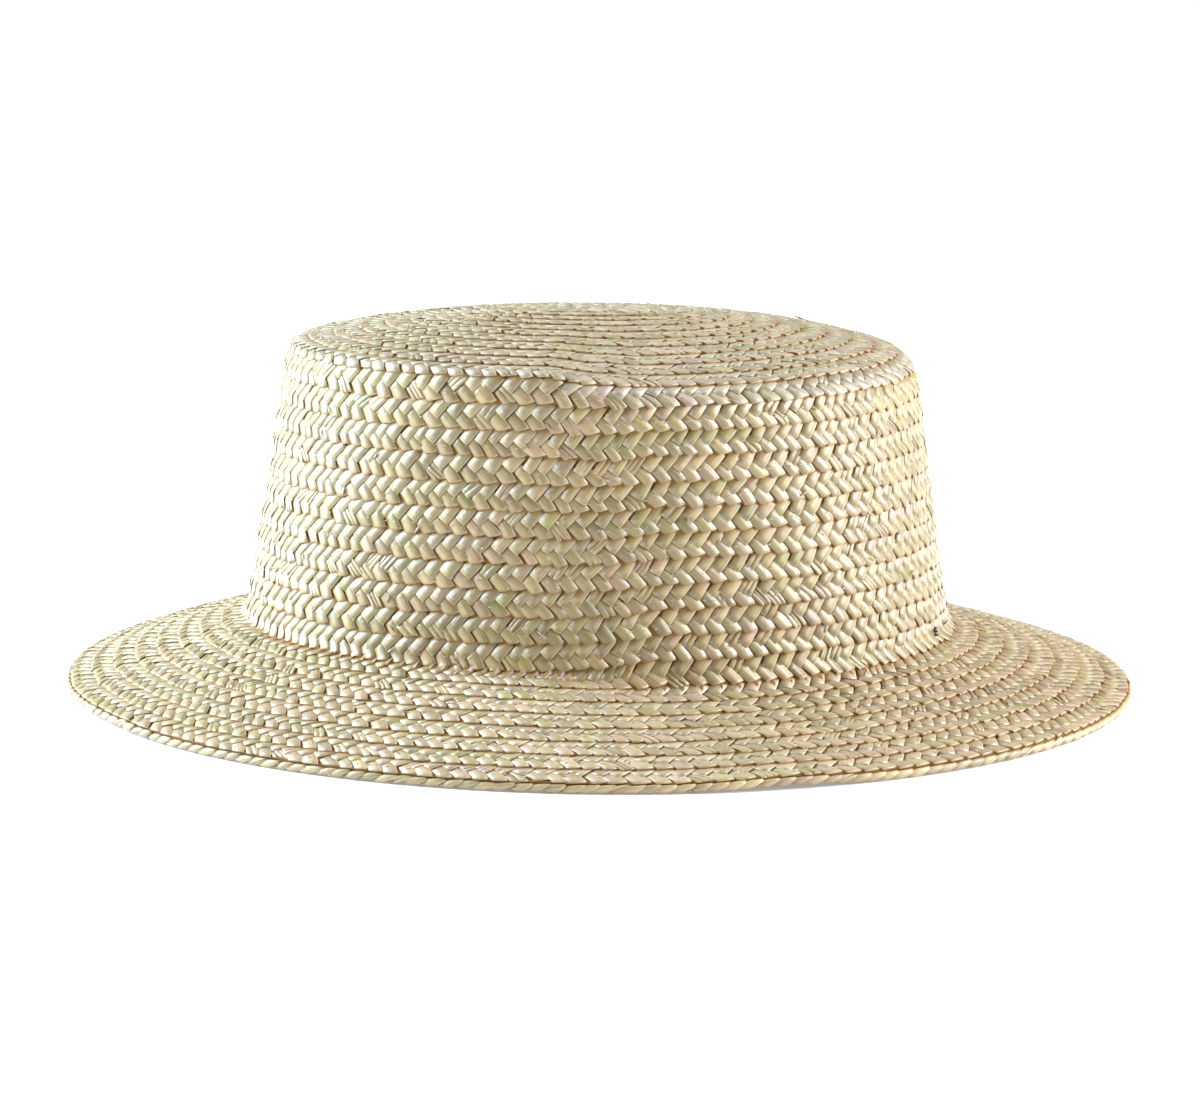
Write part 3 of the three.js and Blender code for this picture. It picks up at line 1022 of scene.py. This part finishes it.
for part in ZONES:
    if part.name == "edge":
        upper = lay_row_bands(part, "_plait_floats", FLOAT_STRAND, rim_straws, RIM_BAND)
    else:
        on_side = part.name == "side"
        float_band = SIDE_FLOAT_BAND if on_side else FLOAT_BAND
        fold_band = SIDE_FOLD_BAND if on_side else FOLD_BAND
        upper = lay_row_bands(part, "_plait_floats", FLOAT_STRAND, floats, float_band)
        lay_row_bands(part, "_plait_folds", FOLD_STRAND, folds, fold_band)
        lay_row_bands(part, "_inner_floats", PLAIN_STRAND, whole_floats, FLOAT_BAND, True)
        lay_row_bands(part, "_inner_folds", PLAIN_STRAND, whole_folds, FOLD_BAND, True)
        chosen = zone_pick(stitches, part.zone)
        sewn = lay_straws(part.name + "_stitches", PLAIN_STRAND, chosen, STITCH_BAND)
        finish_piece(sewn, THREAD)
        lay_row_bands(part, "_loose_ends", PLAIN_STRAND, loose, LOOSE_BAND)
    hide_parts(part.node)
    finish_piece(bed_strip(part.name + "_plait_bed", part.zone), BED_STRAW_PAINTED_SHADE)


# The thread tack low on the crown's right: a dark loop with a knot in it, and a loose end
TACK = SimpleNamespace(
    bearing=-20.0, row=21.3, height=0.42, reach=1.25, drop=1.1, thread=0.26, knot=0.34,
)
TACK_END = SimpleNamespace(bearing=-12.5, row=21.22, height=0.45, reach=2.6, thread=0.2)


def bend_to_hat(mesh, spot, height):
    """Lays a shape drawn in millimetres, x to the right and y up, on the hat's face."""
    corners = np.array([corner.co[:] for corner in mesh.verts])
    base = np.array([spot.bearing])
    rows = np.array([spot.row])
    here = hat.point(base, rows, np.zeros(1))
    per_degree = np.linalg.norm(hat.point(base + 1, rows, np.zeros(1)) - here)
    per_row = np.linalg.norm(hat.point(base, rows + 0.2, np.zeros(1)) - here) / 0.2
    bearing = spot.bearing + corners[:, 0] / per_degree
    row = spot.row - corners[:, 1] / per_row
    places = hat.point(bearing, row, corners[:, 2] + height)
    for corner, place in zip(mesh.verts, places):
        corner.co = Vector(place) * MM


def thread_loop(mesh, spot, start, turn, steps):
    """A round thread swept along part of a circle."""
    ring = bmesh.ops.create_circle(mesh, cap_ends=True, segments=8, radius=spot.thread)
    face = [one for one in mesh.faces if all(corner in ring["verts"] for corner in one.verts)]
    bmesh.ops.rotate(mesh, verts=ring["verts"], matrix=Matrix.Rotation(math.pi / 2, 3, "X"))
    bmesh.ops.translate(mesh, verts=ring["verts"], vec=(1.0, 0.0, 0.0))
    bmesh.ops.rotate(mesh, verts=ring["verts"], matrix=Matrix.Rotation(start, 3, "Z"))
    edges = list({edge for one in face for edge in one.edges})
    bmesh.ops.spin(
        mesh,
        geom=ring["verts"] + edges + face,
        angle=turn,
        steps=steps,
        axis=(0, 0, 1),
        cent=(0, 0, 0),
    )


def make_tack():
    mesh = bmesh.new()
    thread_loop(mesh, TACK, math.radians(70), math.radians(220), 14)
    bmesh.ops.scale(mesh, vec=(TACK.reach, TACK.drop, 1.0), verts=mesh.verts)
    knot = bmesh.ops.create_uvsphere(mesh, u_segments=10, v_segments=7, radius=TACK.knot)
    bmesh.ops.translate(mesh, verts=knot["verts"], vec=(0.45, 0.0, 0.0))
    bend_to_hat(mesh, TACK, TACK.height)
    end = bmesh.new()
    bmesh.ops.create_cone(
        end,
        cap_ends=True,
        segments=8,
        radius1=TACK_END.thread,
        radius2=TACK_END.thread / 2,
        depth=2 * TACK_END.reach,
    )
    bmesh.ops.rotate(end, verts=end.verts, matrix=Matrix.Rotation(math.pi / 2, 3, "Y"))
    bend_to_hat(end, TACK_END, TACK_END.height)
    part_data = bpy.data.meshes.new("tack_end")
    end.to_mesh(part_data)
    end.free()
    mesh.from_mesh(part_data)
    bpy.data.meshes.remove(part_data)
    bmesh.ops.recalc_face_normals(mesh, faces=mesh.faces)
    data = bpy.data.meshes.new("thread_tack")
    mesh.to_mesh(data)
    mesh.free()
    data.shade_smooth()
    piece = bpy.data.objects.new("thread_tack", data)
    bpy.context.scene.collection.objects.link(piece)
    finish_piece(piece, TACK_THREAD)


make_tack()


# Floor and light
FLOOR_REACH = 6.0
GLOW = SimpleNamespace(near=0.5, far=2.4, dim=0.24, bright=0.95)


def make_floor():
    mesh = bmesh.new()
    bmesh.ops.create_grid(mesh, x_segments=1, y_segments=1, size=FLOOR_REACH)
    data = bpy.data.meshes.new("floor")
    mesh.to_mesh(data)
    mesh.free()
    floor = bpy.data.objects.new("floor", data)
    bpy.context.scene.collection.objects.link(floor)
    material = bpy.data.materials.new("pale_floor")
    material.use_nodes = True
    shader = material.node_tree.nodes["Principled BSDF"]
    shader.inputs["Base Color"].default_value = (0.9, 0.9, 0.9, 1.0)
    shader.inputs["Roughness"].default_value = 0.9
    shader.inputs["Emission Color"].default_value = (1.0, 1.0, 1.0, 1.0)
    # Painted light: the floor glows, more towards the back, as a lit paper sweep does
    place = material.node_tree.nodes.new("ShaderNodeTexCoord")
    length = material.node_tree.nodes.new("ShaderNodeVectorMath")
    length.operation = "LENGTH"
    material.node_tree.links.new(place.outputs["Object"], length.inputs[0])
    glow = material.node_tree.nodes.new("ShaderNodeMapRange")
    glow.inputs["From Min"].default_value = GLOW.near
    glow.inputs["From Max"].default_value = GLOW.far
    glow.inputs["To Min"].default_value = GLOW.dim
    glow.inputs["To Max"].default_value = GLOW.bright
    material.node_tree.links.new(length.outputs["Value"], glow.inputs["Value"])
    material.node_tree.links.new(glow.outputs[0], shader.inputs["Emission Strength"])
    data.materials.append(material)


make_floor()


def add_light(name, place, aim, size, power, colour):
    data = bpy.data.lights.new(name, "AREA")
    data.shape = "RECTANGLE"
    data.size, data.size_y = size
    data.energy = power
    data.color = colour
    lamp = bpy.data.objects.new(name, data)
    bpy.context.scene.collection.objects.link(lamp)
    lamp.location = place
    lamp.rotation_euler = (Vector(aim) - Vector(place)).to_track_quat("-Z", "Y").to_euler()


HAT_MIDDLE = (0.0, 0.0, 0.05)
add_light("left_softbox", (-0.97, 0.18, 0.5), HAT_MIDDLE, (0.9, 0.9), 53.0, (0.59, 0.8, 1.0))
add_light("right_softbox", (0.98, -0.04, 0.5), HAT_MIDDLE, (0.7, 0.9), 30.0, (0.72, 0.84, 1.0))
add_light("top_softbox", (0.0, 0.35, 1.5), HAT_MIDDLE, (1.4, 1.2), 6.0, (0.95, 0.93, 0.88))

world = bpy.data.worlds.new("studio")
bpy.context.scene.world = world
world.use_nodes = True
world.node_tree.nodes["Background"].inputs["Color"].default_value = (1.0, 0.83, 0.64, 1.0)
world.node_tree.nodes["Background"].inputs["Strength"].default_value = 0.19
bpy.context.scene.view_settings.view_transform = "Standard"
